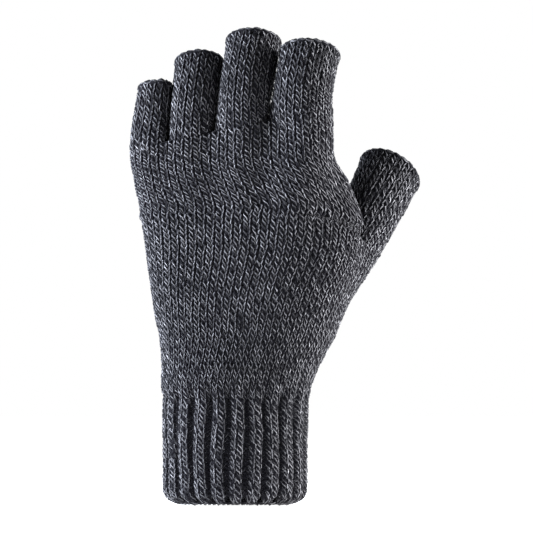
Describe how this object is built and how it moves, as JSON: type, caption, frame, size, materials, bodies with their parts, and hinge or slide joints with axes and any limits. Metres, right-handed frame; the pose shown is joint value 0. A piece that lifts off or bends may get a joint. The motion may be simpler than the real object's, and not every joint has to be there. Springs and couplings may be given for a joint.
{
  "type": "fingerless glove",
  "caption": "Left-hand fingerless knitted glove with ribbed cuff, seamless palm and half-length stalls that bend at the wrist, fingers and thumb.",
  "frame": {"origin": "middle of the glove's footprint in plan, on the surface that the cuff stands on", "axes": "+Z from the wrist to the fingertips, back of the hand towards -Y, thumb towards +X"},
  "size_m": [0.1322, 0.0688, 0.2164],
  "materials": {
    "marled_yarn": "two-ply marled yarn, black-navy and light grey, in plain jersey",
    "rib_yarn": "the same marled yarn in a two-by-one rib",
    "cast_off_yarn": "the same marled yarn in chained edge stitches",
    "elastic": "covered elastic thread"
  },
  "bodies": {
    "cuff": {"cuff_welt": "cast_off_yarn", "cuff_rib": "rib_yarn", "cuff_elastic_1": "elastic", "cuff_elastic_2": "elastic", "cuff_elastic_3": "elastic", "cuff_elastic_4": "elastic", "wrist_band": "marled_yarn"},
    "hand": {"palm_lower": "marled_yarn", "palm_upper": "marled_yarn", "little_root": "marled_yarn", "ring_root": "marled_yarn", "middle_root": "marled_yarn", "index_root": "marled_yarn", "thumb_root": "marled_yarn"},
    "little": {"little_stall": "marled_yarn", "little_edge": "cast_off_yarn"},
    "ring": {"ring_stall": "marled_yarn", "ring_edge": "cast_off_yarn"},
    "middle": {"middle_stall": "marled_yarn", "middle_edge": "cast_off_yarn"},
    "index": {"index_stall": "marled_yarn", "index_edge": "cast_off_yarn"},
    "thumb": {"thumb_stall": "marled_yarn", "thumb_edge": "cast_off_yarn"}
  },
  "joints": [
    {"name": "wrist_bend", "type": "hinge", "parent": "cuff", "child": "hand", "pos_m": [-0.01826, -0.01083, 0.056], "axis": [-1, 0, 0], "range_deg": [-35, 35], "stiffness_Nm_per_rad": 0.12, "deforming": ["wrist_band"]},
    {"name": "little_bend", "type": "hinge", "parent": "hand", "child": "little", "pos_m": [-0.05339, 0.00278, 0.16922], "axis": [-0.9954, 0, 0.0958], "range_deg": [-15, 45], "stiffness_Nm_per_rad": 0.006, "deforming": ["little_root"]},
    {"name": "ring_bend", "type": "hinge", "parent": "hand", "child": "ring", "pos_m": [-0.03616, -0.00417, 0.17267], "axis": [-0.9954, 0, 0.0958], "range_deg": [-15, 45], "stiffness_Nm_per_rad": 0.006, "deforming": ["ring_root"]},
    {"name": "middle_bend", "type": "hinge", "parent": "hand", "child": "middle", "pos_m": [-0.01328, -0.01143, 0.17733], "axis": [-0.9954, 0, 0.0958], "range_deg": [-15, 45], "stiffness_Nm_per_rad": 0.006, "deforming": ["middle_root"]},
    {"name": "index_bend", "type": "hinge", "parent": "hand", "child": "index", "pos_m": [0.012, -0.01675, 0.18245], "axis": [-0.9954, 0, 0.0958], "range_deg": [-15, 45], "stiffness_Nm_per_rad": 0.006, "deforming": ["index_root"]},
    {"name": "thumb_bend", "type": "hinge", "parent": "hand", "child": "thumb", "pos_m": [0.03853, 0.00487, 0.12558], "axis": [-0.8616, 0, 0.5075], "range_deg": [0, 40], "stiffness_Nm_per_rad": 0.006, "deforming": ["thumb_root"]}
  ]
}
